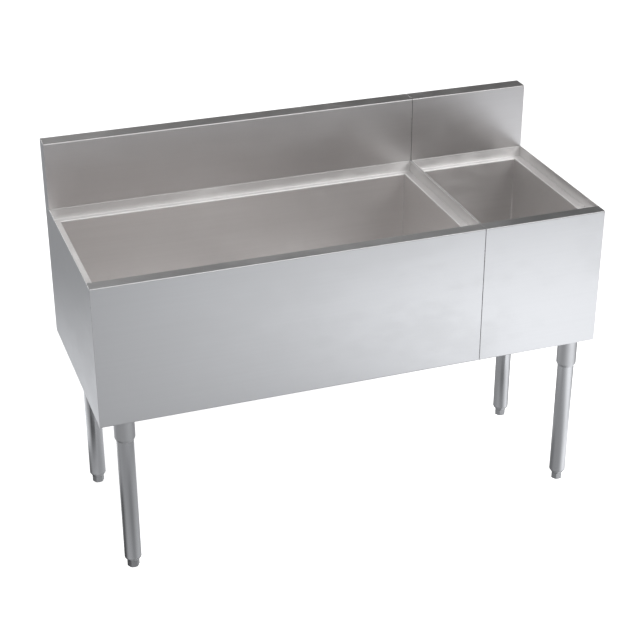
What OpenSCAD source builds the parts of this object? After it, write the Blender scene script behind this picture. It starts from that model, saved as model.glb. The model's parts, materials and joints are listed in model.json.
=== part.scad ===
// Underbar ice bin: a wide ice bin and a narrow side bin in one insulated stainless body on four legs.
// Millimetres. The origin is on the floor under the middle of the body, +X to the right, -Y to the front, +Z up.

/* [Overall size] */
// Width of the wide ice bin module
ice_w = 914.4; // [760:0.1:1200]
// Width of the narrow side bin module
side_w = 304.8; // [280:0.1:460]
// Depth from the apron to the back of the backsplash
depth = 488; // [460:1:560]
// Height of the rim above the floor
rim_h = 762; // [740:1:860]
// Height of the apron, rim to lower edge
apron_h = 341; // [300:1:380]
// Gap between the two modules
seam_gap = 1.2; // [0.8:0.1:2.4]

/* [Backsplash] */
// Height of the backsplash above the rim
splash_h = 162; // [100:1:220]
// Depth of the backsplash box, front to back
splash_t = 44; // [36:1:60]
// How far the backsplash laps down over the rear panel
splash_lap = 26; // [18:1:40]

/* [Sheet metal] */
// Thickness of the outer panels
sheet = 1.2; // [1:0.1:1.6]
// Thickness of the bin liners
liner_t = 1; // [0.8:0.1:1.2]
// Outside radius of a folded edge
bend_r = 2.6; // [2.2:0.1:4]

/* [Rim and bins] */
// Depth of the flat strip along the front rim
strip_w = 32; // [28:1:45]
// Drop from the rim to the cover ledge
step_drop = 26; // [18:1:32]
// Width of the cover ledge at the sides of a bin
side_ledge = 20.6; // [14:0.2:26]
// Width of the cover ledge at the front and back of a bin
long_ledge = 17; // [12:0.5:22]
// Radius of the upright corners of the ledge recess
recess_r = 3; // [2.5:0.5:8]
// Radius of the upright corners of a liner
corner_r = 3; // [2:0.5:16]
// Radius of the fold from the ledge down into the liner
lip_r = 2.4; // [2:0.1:4]
// Radius of the cove between the walls and floor of a liner
cove_r = 14; // [8:1:24]
// Fall of the liner floor from its ends to the drain
floor_fall = 6; // [2:0.5:10]

/* [Underside] */
// Height from the lower edge of the apron to the top of the bottom pan
pan_rise = 26; // [24:1:34]
// Insulation between the bottom pan and the liner floor
floor_foam = 22; // [20:1:30]
// Width of the folded flange under the apron
apron_flange = 25; // [16:1:28]
// Width of the folded flange under the outer side panels and the rear panels
edge_flange = 12; // [8:1:13]
// Width of the folded flange under the two panels at the seam
seam_flange = 22; // [20:1:30]

/* [Leg channels] */
// Width of the lipped channel that carries the legs
channel_w = 68; // [67:0.5:70]
// Thickness of the channel
channel_t = 2; // [1.5:0.1:2.5]
// Width of the inward lips of the channel
channel_lip = 12; // [8:1:18]
// Height of the channel above the lower edge of the apron
channel_lift = 10; // [9.5:0.5:11]

/* [Legs] */
// Distance of the left legs from the left side
left_inset = 65; // [50:1:90]
// Distance of the right legs from the right side
right_inset = 39; // [38:0.5:60]
// Distance of the front legs from the apron
front_inset = 55; // [54:1:80]
// Distance of the rear left leg from the back
rear_left_inset = 51; // [49:1:108]
// Distance of the rear right leg from the back
rear_right_inset = 98; // [50:1:128]
// Outside diameter of the leg tube
tube_d = 40; // [38:0.1:41.3]
// Wall of the leg tube
tube_t = 1.5; // [1.2:0.1:2]
// Outside diameter of the socket collar
collar_d = 48; // [46:0.5:49]
// Clearance of the tube in its socket, all round
socket_fit = 0.1; // [0.05:0.05:0.3]
// How far the left sockets reach below the apron
left_drop = 72; // [60:1:110]
// How far the right sockets reach below the apron
right_drop = 88; // [60:1:110]
// Height of the taper at the lower end of a socket
collar_taper = 7; // [6:0.5:12]
// Side of the square socket plate
plate_w = 66; // [65:0.5:67]
// Thickness of the socket plate
plate_t = 4; // [3:0.5:5]
// Radius of the corners of the socket plate
plate_r = 6; // [3:0.5:8]

/* [Levelling feet] */
// Width of the hexagonal foot across its flats
foot_af = 25.4; // [22:0.1:30]
// Height of the hexagonal foot
foot_h = 17.5; // [14:0.5:24]
// Height of the tapered shoulder of the leg plug
plug_shoulder = 10; // [6:0.5:12]
// Length of the leg plug inside the tube
plug_len = 40; // [32:1:50]
// Diameter of the foot's threaded stem
stem_d = 12.7; // [10:0.1:16]
// Running clearance between the stem and the plug, all round
stem_fit = 0.05; // [0.02:0.01:0.1]
// Gap between the foot and the plug when the foot is screwed fully in
foot_gap = 0.3; // [0.2:0.1:1]
// Travel of the foot when it is screwed out
foot_travel = 25; // [15:1:30]

/* [Drain] */
// Diameter of the drain flange
drain_flange_d = 64; // [60:1:70]
// Outside diameter of the threaded drain shank
shank_d = 42; // [40:0.2:44]
// Outside diameter of the tailpiece
tail_d = 33.4; // [30:0.1:34]
// Bore of the tailpiece
tail_bore = 26.6; // [22:0.1:28]
// How far the tailpiece reaches below the apron
tail_drop = 20; // [10:1:40]
// Depth of the well that the drain flange sits in
well_h = 5; // [4:0.5:6]
// Diameter of the strainer plate
strainer_d = 46; // [42:1:48]
// Diameter of the holes in the strainer
strainer_hole = 4.4; // [3:0.1:5]

/* [Fasteners] */
// Diameter of the bolts
bolt_d = 6; // [5:0.5:6]
// Width of the bolt heads and nuts across their flats
bolt_af = 10; // [8:0.5:10]
// Spacing of the four bolts of a socket plate
bolt_pitch = 48; // [46:0.5:50]
// Thickness of the plate that joins the modules from below
joint_t = 3; // [2:0.5:4]
// Number of bolts along each edge of the joint plate
joint_count = 4; // [3:1:6]
// Number of bolts through the seam
seam_count = 3; // [2:1:5]
// Diameter of the grub screw in each socket
grub_d = 8; // [6:0.5:10]

/* [Hidden] */
$fn = 64;
eps = 0.01;

// Levels
rim_z = rim_h;
apron_z = rim_z - apron_h;
top_z = rim_z + splash_h;
ledge_z = rim_z - step_drop;
pan_z = apron_z + pan_rise;
floor_z = pan_z + floor_foam + liner_t;
channel_z = apron_z + channel_lift;
channel_h = pan_z - sheet - channel_z;
plate_z = channel_z - plate_t;

// Front to back
y_front = -depth / 2;
y_back = depth / 2;
y_splash = y_back - splash_t;
y_body = y_back - sheet;
recess_y0 = y_front + strip_w;
recess_y1 = y_splash - liner_t;
tub_y0 = recess_y0 + long_ledge;
tub_y1 = y_splash - long_ledge;
drain_y = (tub_y0 + tub_y1) / 2;

// Left to right: each bin is its left and right side
total_w = ice_w + side_w;
x_left = -total_w / 2;
x_right = total_w / 2;
x_seam = x_left + ice_w;
ice = [x_left, x_seam - seam_gap / 2];
side = [x_seam + seam_gap / 2, x_right];
rim_w = sheet + liner_t;
function recess_x0(bin) = bin[0] + rim_w;
function recess_x1(bin) = bin[1] - rim_w;
function tub_x0(bin) = recess_x0(bin) + side_ledge;
function tub_x1(bin) = recess_x1(bin) - side_ledge;
function drain_x(bin) = (tub_x0(bin) + tub_x1(bin)) / 2;

// Clearances: round the foam, between a thread and its nut, and round a bolt in its hole
foam_gap = 0.3;
nut_fit = 0.05;
bolt_hole = bolt_d / 2 + 0.3;

// Drain, downwards from the floor of its well
gasket_t = 1;
drain_flange_t = 3;
well_r = drain_flange_d / 2 + 3;
shank_reach = 12;
well_z = floor_z - well_h;
shank_len = well_z - pan_z + sheet + shank_reach;
spigot_step = 0.8;
shank_bore = tail_d / 2 - spigot_step + nut_fit;
strainer_t = 1.5;
locknut_h = 8;
locknut_r = shank_d / 2 + 7;
foam_hole_r = locknut_r + 3;
tail_grip = 18;
flat_half = well_r + 6;
ring_step = strainer_hole * 1.6;
strainer_rings = floor((shank_bore - strainer_hole / 2) / ring_step);

// Legs: x, y, how far the socket reaches below the apron, and the side its grub screw faces
legs = [
    [x_left + left_inset, y_front + front_inset, left_drop, 90],
    [x_right - right_inset, y_front + front_inset, right_drop, 90],
    [x_left + left_inset, y_back - rear_left_inset, left_drop, -90],
    [x_right - right_inset, y_back - rear_right_inset, right_drop, -90]
];
plug_z = foot_h + foot_gap;
tube_z = plug_z + plug_shoulder;
plug_bore = stem_d / 2 + stem_fit;
stem_hold = 22;
stem_len = foot_gap + plug_shoulder + foot_travel + stem_hold;
grub_up = 28;
lip_fit = 1;

// Fasteners
bolt_head_h = 4;
nut_h = 5;
washer_r = 8;
joint_row = seam_gap / 2 + seam_flange * 0.55;
joint_y0 = y_front + apron_flange + 6;
joint_y1 = y_body - edge_flange - 6;
joint_margin = 16;
joint_step = (joint_y1 - joint_y0 - 2 * joint_margin) / (joint_count - 1);
seam_bolt_z = apron_z + sheet + nut_h + bolt_af * 0.8;
seam_y0 = joint_y0 + joint_margin + joint_step / 2;
seam_step = (joint_y1 - joint_y0 - 2 * joint_margin - joint_step) / (seam_count - 1);
// Two panels, two pan skirts and the washer in the gap lie between a seam bolt's head and nut
seam_grip = seam_gap + 4 * sheet;

steel = [0.74, 0.75, 0.76];
steel_dark = [0.62, 0.62, 0.63];
liner_grey = [0.68, 0.67, 0.66];
zinc = [0.70, 0.72, 0.74];
foam_cream = [0.90, 0.84, 0.62];
rubber = [0.12, 0.12, 0.12];

// Extrusions of a profile along X and along Y, in the body's own coordinates
module along_x(x0, x1) {
    translate([x0, 0, 0]) rotate([90, 0, 90]) linear_extrude(x1 - x0) children();
}

module along_y(y0, y1) {
    translate([0, y1, 0]) rotate([90, 0, 0]) linear_extrude(y1 - y0) children();
}

module box(low, high) {
    translate(low) cube(high - low);
}

// The quarter of a folded edge that lies between two straight legs of sheet
module fold(r, t, turn) {
    rotate(turn) intersection() {
        difference() {
            circle(r);
            circle(r - t);
        }
        square(r);
    }
}

module rounded_rect(a0, a1, b0, b1, r) {
    translate([a0 + r, b0]) square([a1 - a0 - 2 * r, b1 - b0]);
    translate([a0, b0 + r]) square([a1 - a0, b1 - b0 - 2 * r]);
    for (a = [a0 + r, a1 - r], b = [b0 + r, b1 - r]) translate([a, b]) circle(r);
}

// Carries a profile of (distance inside the rectangle, height) round a rounded rectangle
module round_rectangle_sweep(a0, a1, b0, b1, r) {
    along_y(b0 + r, b1 - r) translate([a0, 0]) children();
    along_y(b0 + r, b1 - r) translate([a1, 0]) mirror([1, 0]) children();
    along_x(a0 + r, a1 - r) translate([b0, 0]) children();
    along_x(a0 + r, a1 - r) translate([b1, 0]) mirror([1, 0]) children();
    for (c = [[a1 - r, b1 - r, 0], [a0 + r, b1 - r, 90], [a0 + r, b0 + r, 180], [a1 - r, b0 + r, 270]])
        translate([c[0], c[1], 0]) rotate(c[2]) rotate_extrude(angle = 90)
            translate([r, 0]) mirror([1, 0]) children();
}

// Section of a liner floor: coved corners, and a fall to a flat strip at the drain
module floor_section(a0, a1, z_top, z_low, r, fall) {
    mid = (a0 + a1) / 2;
    polygon([
        [a0, z_top], [a1, z_top], [a1, z_low + fall + r], [a1 - r, z_low + fall],
        [mid + flat_half, z_low], [mid - flat_half, z_low], [a0 + r, z_low + fall], [a0, z_low + fall + r]
    ]);
    for (a = [a0 + r, a1 - r]) translate([a, z_low + fall + r]) circle(r);
}

// The space of a liner below the ledge fold, grown outwards by the thickness around it
module tub_space(bin, z_top, grow) {
    a0 = tub_x0(bin) - grow;
    a1 = tub_x1(bin) + grow;
    b0 = tub_y0 - grow;
    b1 = tub_y1 + grow;
    intersection() {
        translate([0, 0, floor_z - grow]) linear_extrude(z_top - floor_z + grow)
            rounded_rect(a0, a1, b0, b1, corner_r + grow);
        along_y(b0 - 1, b1 + 1) floor_section(a0, a1, z_top, floor_z - grow, cove_r + grow, floor_fall);
        along_x(a0 - 1, a1 + 1) floor_section(b0, b1, z_top, floor_z - grow, cove_r + grow, 0);
    }
}

// Ledge frame: step wall, fold, cover ledge and the fold down to the liner that is welded to its lower edge
module ledge_frame(bin) {
    a0 = recess_x0(bin);
    a1 = recess_x1(bin);
    t = liner_t;
    color(liner_grey) {
        // Step wall: its top is in front of the backsplash, under the front strip, and level with the side rims
        difference() {
            translate([0, 0, ledge_z - t + lip_r]) linear_extrude(step_drop + t - lip_r) difference() {
                rounded_rect(a0 - t, a1 + t, recess_y0 - t, recess_y1 + t, recess_r + t);
                rounded_rect(a0, a1, recess_y0, recess_y1, recess_r);
            }
            box([a0 - 2 * t, y_front, rim_z - sheet], [a1 + 2 * t, recess_y0 + eps, rim_z + 1]);
        }
        // Fold from the step wall into the ledge
        round_rectangle_sweep(a0 - t, a1 + t, recess_y0 - t, recess_y1 + t, recess_r + t)
            translate([lip_r, ledge_z - t + lip_r]) fold(lip_r, t, 180);
        // Ledge
        translate([0, 0, ledge_z - t]) linear_extrude(t) difference() {
            rounded_rect(a0 - t + lip_r, a1 + t - lip_r, recess_y0 - t + lip_r,
                recess_y1 + t - lip_r, recess_r + t - lip_r);
            rounded_rect(tub_x0(bin) - lip_r, tub_x1(bin) + lip_r, tub_y0 - lip_r,
                tub_y1 + lip_r, corner_r + lip_r);
        }
        // Fold from the ledge down to the liner
        round_rectangle_sweep(tub_x0(bin) - lip_r, tub_x1(bin) + lip_r, tub_y0 - lip_r,
            tub_y1 + lip_r, corner_r + lip_r)
            translate([0, ledge_z - lip_r]) fold(lip_r, t, 0);
    }
}

// Bin liner: upright walls, a cove all round, a floor that falls to the middle, and a round well there
module bin_liner(bin) {
    t = liner_t;
    color(liner_grey) difference() {
        union() {
            tub_space(bin, ledge_z - lip_r, t);
            translate([drain_x(bin), drain_y, well_z - t]) cylinder(h = well_h, r = well_r + t);
        }
        tub_space(bin, ledge_z + 1, 0);
        translate([drain_x(bin), drain_y, well_z]) cylinder(h = well_h + 1, r = well_r);
        translate([drain_x(bin), drain_y, well_z - 2 * t]) cylinder(h = 3 * t, r = shank_d / 2 + 0.3);
    }
}

// Foamed-in insulation: fills the body round the liner, and the hollow under the front strip
module insulation(bin) {
    g = foam_gap;
    x0 = bin[0] + sheet + g;
    x1 = bin[1] - sheet - g;
    y1 = y_body - sheet - g;
    foam_top = ledge_z - liner_t - g;
    color(foam_cream) difference() {
        union() {
            box([x0, y_front + sheet + g, pan_z], [x1, y1, foam_top]);
            box([x0, y_front + sheet + g, foam_top - 1], [x1, recess_y0 - liner_t - g, rim_z - bend_r]);
            box([x0, recess_y1 + liner_t + g, foam_top - 1], [x1, y1, rim_z - bend_r]);
        }
        tub_space(bin, ledge_z + 1, liner_t + g);
        round_rectangle_sweep(tub_x0(bin) - lip_r, tub_x1(bin) + lip_r, tub_y0 - lip_r,
            tub_y1 + lip_r, corner_r + lip_r)
            translate([0, ledge_z - lip_r]) square([lip_r + eps, lip_r]);
        translate([drain_x(bin), drain_y, pan_z - 1]) cylinder(h = floor_foam + 2, r = foam_hole_r);
        translate([drain_x(bin), drain_y, well_z - liner_t - g])
            cylinder(h = well_h + 2, r = well_r + liner_t + g);
    }
}

// Front apron: flat rim strip, face and lower flange of one folded sheet
module front_apron(bin) {
    color(steel) along_x(bin[0], bin[1]) {
        translate([y_front + bend_r, rim_z - sheet]) square([strip_w - bend_r, sheet]);
        translate([y_front + bend_r, rim_z - bend_r]) fold(bend_r, sheet, 90);
        translate([y_front, apron_z + bend_r]) square([sheet, apron_h - 2 * bend_r]);
        translate([y_front + bend_r, apron_z + bend_r]) fold(bend_r, sheet, 180);
        translate([y_front + bend_r, apron_z]) square([apron_flange - bend_r, sheet]);
    }
}

// Side panel at x, its flange turned towards the given direction, with holes for any seam bolts
module side_panel(x, dir, flange, seam_holes) {
    color(steel) difference() {
        translate([x, 0, 0]) mirror([dir < 0 ? 1 : 0, 0, 0]) difference() {
            along_y(y_front + sheet, y_body) {
                translate([0, apron_z + bend_r]) square([sheet, apron_h - bend_r]);
                translate([bend_r, apron_z + bend_r]) fold(bend_r, sheet, 180);
                translate([bend_r, apron_z]) square([flange - bend_r, sheet]);
            }
            // Room for the front strip above and the apron's flange below
            box([-1, y_front, rim_z - sheet], [sheet + 1, recess_y0, rim_z + 1]);
            box([-1, y_front, rim_z - bend_r], [sheet + 1, y_front + bend_r, rim_z + 1]);
            box([-1, y_front, apron_z - 1], [flange + 1, y_front + apron_flange, apron_z + bend_r]);
            box([sheet, y_body - edge_flange, apron_z - 1], [flange + 1, y_body + 1, apron_z + bend_r]);
        }
        if (seam_holes) {
            seam_bolt_places() bolt_clearance();
            joint_bolt_places() bolt_clearance();
        }
    }
}

// Rear panel: top flange under the backsplash, face and lower flange of one folded sheet
module rear_panel(bin) {
    color(zinc) along_x(bin[0] + sheet, bin[1] - sheet) {
        translate([recess_y1 + liner_t, rim_z - sheet])
            square([y_body - bend_r - recess_y1 - liner_t, sheet]);
        translate([y_body - bend_r, rim_z - bend_r]) fold(bend_r, sheet, 0);
        translate([y_body - sheet, apron_z + bend_r]) square([sheet, apron_h - 2 * bend_r]);
        translate([y_body - bend_r, apron_z + bend_r]) fold(bend_r, sheet, 270);
        translate([y_body - edge_flange, apron_z]) square([edge_flange - bend_r, sheet]);
    }
}

// Bottom pan: an upside-down tray that stands on the lower flanges of the panels
module bottom_pan(bin) {
    x0 = bin[0] + sheet;
    x1 = bin[1] - sheet;
    y0 = y_front + sheet;
    y1 = y_body - sheet;
    skirt_z = apron_z + bend_r;
    color(zinc) difference() {
        union() {
            along_x(x0, x1) {
                translate([y0 + bend_r, pan_z - sheet]) square([y1 - y0 - 2 * bend_r, sheet]);
                translate([y0 + bend_r, pan_z - bend_r]) fold(bend_r, sheet, 90);
                translate([y1 - bend_r, pan_z - bend_r]) fold(bend_r, sheet, 0);
                for (y = [y0, y1 - sheet]) translate([y, skirt_z]) square([sheet, pan_z - bend_r - skirt_z]);
            }
            for (x = [x0, x1 - sheet])
                box([x, y0 + sheet, skirt_z], [x + sheet, y1 - sheet, pan_z - sheet + eps]);
        }
        translate([drain_x(bin), drain_y, pan_z - 2 * sheet])
            cylinder(h = 3 * sheet, r = shank_d / 2 + 2);
        seam_bolt_places() bolt_clearance();
    }
}

// Backsplash: front, top and back of one folded sheet, the back lapping over the rear panel
module backsplash(bin) {
    color(steel) along_x(bin[0], bin[1]) {
        translate([y_splash, rim_z]) square([sheet, splash_h - bend_r]);
        translate([y_splash + bend_r, top_z - bend_r]) fold(bend_r, sheet, 90);
        translate([y_splash + bend_r, top_z - sheet]) square([splash_t - 2 * bend_r, sheet]);
        translate([y_back - bend_r, top_z - bend_r]) fold(bend_r, sheet, 0);
        translate([y_back - sheet, rim_z - splash_lap]) square([sheet, splash_h + splash_lap - bend_r]);
    }
}

// End plate of a backsplash, let into its open end
module backsplash_end(x) {
    r = bend_r - sheet;
    color(steel) along_x(x, x + sheet) difference() {
        rounded_rect(y_splash + sheet, y_back - sheet, rim_z - 2 * r, top_z - sheet, r);
        translate([y_splash, rim_z - 3 * r]) square([splash_t, 3 * r]);
    }
}

module drain_body(bin) {
    top = well_z + gasket_t + drain_flange_t;
    color(steel_dark) translate([drain_x(bin), drain_y, 0]) rotate_extrude() difference() {
        union() {
            polygon([
                [0, well_z + gasket_t], [drain_flange_d / 2, well_z + gasket_t],
                [drain_flange_d / 2, top - 1], [drain_flange_d / 2 - 2, top], [0, top]
            ]);
            translate([0, well_z - shank_len]) square([shank_d / 2, shank_len + gasket_t + eps]);
        }
        translate([-1, well_z - shank_len - 1]) square([1 + shank_bore, top - well_z + shank_len + 2]);
        translate([-1, top - strainer_t]) square([1 + strainer_d / 2 + 0.2, strainer_t + 1]);
    }
}

module drain_gasket(bin) {
    color(rubber) translate([drain_x(bin), drain_y, well_z]) difference() {
        cylinder(h = gasket_t, r = drain_flange_d / 2 - 1);
        translate([0, 0, -1]) cylinder(h = gasket_t + 2, r = shank_d / 2 + 0.2);
    }
}

// Eight-sided locknut under the liner, its lower corners turned off
module drain_locknut(bin) {
    color(steel_dark) translate([drain_x(bin), drain_y, well_z - liner_t - locknut_h]) difference() {
        intersection() {
            cylinder(h = locknut_h, r = locknut_r, $fn = 8);
            rotate_extrude() polygon([
                [0, 0], [locknut_r - 2, 0], [locknut_r, 2], [locknut_r, locknut_h], [0, locknut_h]
            ]);
        }
        translate([0, 0, -1]) cylinder(h = locknut_h + 2, r = shank_d / 2 + nut_fit);
    }
}

// Tailpiece: its spigot is screwed up into the shank and its shoulder stops on the shank's lower end
module drain_tailpiece(bin) {
    low = apron_z - tail_drop;
    mid = well_z - shank_len;
    color(steel_dark) translate([drain_x(bin), drain_y, low]) difference() {
        union() {
            cylinder(h = mid - low, r = tail_d / 2);
            cylinder(h = mid - low + tail_grip, r = tail_d / 2 - spigot_step);
        }
        translate([0, 0, -1]) cylinder(h = mid - low + tail_grip + 2, r = tail_bore / 2);
    }
}

// Perforated plate that drops into the drain flange
module drain_strainer(bin) {
    z = well_z + gasket_t + drain_flange_t - strainer_t;
    color(steel) translate([drain_x(bin), drain_y, z]) difference() {
        cylinder(h = strainer_t, r = strainer_d / 2);
        translate([0, 0, -1]) cylinder(h = strainer_t + 2, r = strainer_hole / 2);
        for (ring = [1:strainer_rings], k = [0:6 * ring - 1]) rotate(60 * k / ring)
            translate([ring * ring_step, 0, -1]) cylinder(h = strainer_t + 2, r = strainer_hole / 2, $fn = 24);
    }
}

// Lipped channel under the pan, open upwards, with the bolt holes of its two sockets
module leg_channel(leg_a, leg_b) {
    half = channel_w / 2;
    top = channel_z + channel_h;
    color(zinc) difference() {
        along_y(y_front + apron_flange + lip_fit, y_body - edge_flange - lip_fit) translate([leg_a[0], 0]) {
            translate([-half + bend_r, channel_z]) square([channel_w - 2 * bend_r, channel_t]);
            for (m = [0, 1]) mirror([m, 0]) {
                translate([half - bend_r, channel_z + bend_r]) fold(bend_r, channel_t, 270);
                translate([half - channel_t, channel_z + bend_r])
                    square([channel_t, channel_h - 2 * bend_r]);
                translate([half - bend_r, top - bend_r]) fold(bend_r, channel_t, 0);
                translate([half - channel_lip, top - channel_t]) square([channel_lip - bend_r, channel_t]);
            }
        }
        for (leg = [leg_a, leg_b]) socket_bolt_places(leg) bolt_clearance();
    }
}

// Four bolts of one socket, on the underside of its plate
module socket_bolt_places(leg) {
    for (dx = [-1, 1], dy = [-1, 1])
        translate([leg[0] + dx * bolt_pitch / 2, leg[1] + dy * bolt_pitch / 2, plate_z]) children();
}

module joint_bolt_places() {
    for (dir = [-1, 1], k = [0:joint_count - 1])
        translate([x_seam + dir * joint_row, joint_y0 + joint_margin + k * joint_step, apron_z - joint_t])
            children();
}

module seam_bolt_places() {
    for (k = [0:seam_count - 1])
        translate([x_seam, seam_y0 + k * seam_step, seam_bolt_z]) rotate([0, 90, 0]) children();
}

// Cutter for a bolt hole, through every sheet near the bolt's head
module bolt_clearance() {
    translate([0, 0, -2 * bolt_head_h]) cylinder(h = 6 * bolt_head_h, r = bolt_hole);
}

// Hexagonal bolt: the head below the origin and the shank above it
module hex_bolt(grip) {
    translate([0, 0, -bolt_head_h]) intersection() {
        cylinder(h = bolt_head_h, d = bolt_af / cos(30), $fn = 6);
        rotate_extrude() polygon([
            [0, 0], [bolt_af / 2 - 0.4, 0], [bolt_af / 2 + 1, bolt_head_h * 0.4],
            [bolt_af / 2 + 1, bolt_head_h], [0, bolt_head_h]
        ]);
    }
    cylinder(h = grip + nut_h + 1, r = bolt_d / 2);
}

module hex_nut() {
    difference() {
        cylinder(h = nut_h, d = bolt_af / cos(30), $fn = 6);
        translate([0, 0, -1]) cylinder(h = nut_h + 2, r = bolt_d / 2 + nut_fit);
    }
}

module joint_plate() {
    half = joint_row + bolt_af;
    color(zinc) difference() {
        box([x_seam - half, joint_y0, apron_z - joint_t], [x_seam + half, joint_y1, apron_z]);
        joint_bolt_places() bolt_clearance();
    }
}

module joint_plate_bolts() {
    color(steel_dark) joint_bolt_places() hex_bolt(joint_t + sheet);
}

module joint_plate_nuts() {
    color(steel_dark) joint_bolt_places() translate([0, 0, joint_t + sheet]) hex_nut();
}

module seam_bolts() {
    color(steel_dark) seam_bolt_places() translate([0, 0, -seam_grip / 2]) hex_bolt(seam_grip);
}

module seam_nuts() {
    color(steel_dark) seam_bolt_places() translate([0, 0, seam_grip / 2]) hex_nut();
}

module seam_washers() {
    color(steel_dark) seam_bolt_places() translate([0, 0, -seam_gap / 2]) difference() {
        cylinder(h = seam_gap, r = washer_r);
        translate([0, 0, -1]) cylinder(h = seam_gap + 2, r = bolt_d / 2 + nut_fit);
    }
}

// Leg socket: square plate and a collar with a tapered lower end, bored from below
module leg_socket(leg) {
    low = apron_z - leg[2];
    half = plate_w / 2;
    bore = tube_d / 2 + socket_fit;
    color(steel) difference() {
        union() {
            translate([leg[0], leg[1], plate_z]) linear_extrude(plate_t)
                rounded_rect(-half, half, -half, half, plate_r);
            translate([leg[0], leg[1], 0]) rotate_extrude() polygon([
                [0, low], [bore + 0.6, low], [collar_d / 2, low + collar_taper],
                [collar_d / 2, plate_z + eps], [0, plate_z + eps]
            ]);
        }
        translate([leg[0], leg[1], low - 1]) cylinder(h = plate_z - low + 1, r = bore);
        socket_bolt_places(leg) bolt_clearance();
        grub_place(leg) cylinder(h = collar_d, r = grub_d / 2 + nut_fit);
    }
}

// Axis of a socket's grub screw, outwards from the middle of the leg
module grub_place(leg) {
    translate([leg[0], leg[1], apron_z - leg[2] + grub_up]) rotate([0, 90, leg[3]]) children();
}

// Grub screw with a hexagonal recess, its tip on the tube
module grub_screw() {
    len = collar_d / 2 - tube_d / 2;
    difference() {
        translate([0, 0, tube_d / 2]) cylinder(h = len, r = grub_d / 2);
        translate([0, 0, tube_d / 2 + len * 0.4]) cylinder(h = len, r = grub_d * 0.28, $fn = 6);
    }
}

module leg_tube(leg) {
    color(steel) translate([leg[0], leg[1], tube_z]) difference() {
        cylinder(h = plate_z - tube_z, r = tube_d / 2);
        translate([0, 0, -1]) cylinder(h = plate_z - tube_z + 2, r = tube_d / 2 - tube_t);
    }
}

// Plug in the lower end of a tube: a tapered shoulder outside and a threaded barrel inside
module leg_plug(leg) {
    color(steel_dark) translate([leg[0], leg[1], plug_z]) rotate_extrude() difference() {
        polygon([
            [0, 0], [foot_af / 2 + 2, 0], [tube_d / 2, plug_shoulder - 1.5], [tube_d / 2, plug_shoulder],
            [tube_d / 2 - tube_t, plug_shoulder], [tube_d / 2 - tube_t, plug_shoulder + plug_len - 2],
            [tube_d / 2 - tube_t - 2, plug_shoulder + plug_len], [0, plug_shoulder + plug_len]
        ]);
        translate([-1, -1]) square([1 + plug_bore, plug_shoulder + plug_len + 2]);
    }
}

// Levelling foot: a hexagon with its corners turned off, and the threaded stem above it
module levelling_foot(leg) {
    corner = foot_af / 2 / cos(30);
    color(steel_dark) translate([leg[0], leg[1], 0]) {
        intersection() {
            cylinder(h = foot_h, r = corner, $fn = 6);
            rotate_extrude() polygon([
                [0, 0], [foot_af / 2 + 0.6, 0], [corner, 0.9], [corner, foot_h - 1.2],
                [foot_af / 2, foot_h], [0, foot_h]
            ]);
        }
        translate([0, 0, foot_h - eps]) cylinder(h = stem_len + eps, r = stem_d / 2);
    }
}

module ice_ledge_frame() { ledge_frame(ice); }
module ice_liner() { bin_liner(ice); }
module ice_insulation() { insulation(ice); }
module ice_front_apron() { front_apron(ice); }
module ice_left_panel() { side_panel(ice[0], 1, edge_flange, false); }
module ice_right_panel() { side_panel(ice[1], -1, seam_flange, true); }
module ice_rear_panel() { rear_panel(ice); }
module ice_bottom_pan() { bottom_pan(ice); }
module ice_backsplash() { backsplash(ice); }
module ice_backsplash_left_end() { backsplash_end(ice[0]); }
module ice_backsplash_right_end() { backsplash_end(ice[1] - sheet); }
module ice_drain_body() { drain_body(ice); }
module ice_drain_gasket() { drain_gasket(ice); }
module ice_drain_locknut() { drain_locknut(ice); }
module ice_drain_tailpiece() { drain_tailpiece(ice); }
module ice_drain_strainer() { drain_strainer(ice); }
module side_ledge_frame() { ledge_frame(side); }
module side_liner() { bin_liner(side); }
module side_insulation() { insulation(side); }
module side_front_apron() { front_apron(side); }
module side_left_panel() { side_panel(side[0], 1, seam_flange, true); }
module side_right_panel() { side_panel(side[1], -1, edge_flange, false); }
module side_rear_panel() { rear_panel(side); }
module side_bottom_pan() { bottom_pan(side); }
module side_backsplash() { backsplash(side); }
module side_backsplash_left_end() { backsplash_end(side[0]); }
module side_backsplash_right_end() { backsplash_end(side[1] - sheet); }
module side_drain_body() { drain_body(side); }
module side_drain_gasket() { drain_gasket(side); }
module side_drain_locknut() { drain_locknut(side); }
module side_drain_tailpiece() { drain_tailpiece(side); }
module side_drain_strainer() { drain_strainer(side); }
module left_leg_channel() { leg_channel(legs[0], legs[2]); }
module right_leg_channel() { leg_channel(legs[1], legs[3]); }
module front_left_leg_socket() { leg_socket(legs[0]); }
module front_right_leg_socket() { leg_socket(legs[1]); }
module rear_left_leg_socket() { leg_socket(legs[2]); }
module rear_right_leg_socket() { leg_socket(legs[3]); }
module front_left_leg_tube() { leg_tube(legs[0]); }
module front_right_leg_tube() { leg_tube(legs[1]); }
module rear_left_leg_tube() { leg_tube(legs[2]); }
module rear_right_leg_tube() { leg_tube(legs[3]); }
module front_left_leg_plug() { leg_plug(legs[0]); }
module front_right_leg_plug() { leg_plug(legs[1]); }
module rear_left_leg_plug() { leg_plug(legs[2]); }
module rear_right_leg_plug() { leg_plug(legs[3]); }
module front_left_foot() { levelling_foot(legs[0]); }
module front_right_foot() { levelling_foot(legs[1]); }
module rear_left_foot() { levelling_foot(legs[2]); }
module rear_right_foot() { levelling_foot(legs[3]); }
module socket_bolts() {
    color(steel_dark) for (leg = legs) socket_bolt_places(leg) hex_bolt(plate_t + channel_t);
}
module socket_nuts() {
    color(steel_dark) for (leg = legs)
        socket_bolt_places(leg) translate([0, 0, plate_t + channel_t]) hex_nut();
}
module socket_grub_screws() {
    color(steel_dark) for (leg = legs) grub_place(leg) grub_screw();
}

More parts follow.
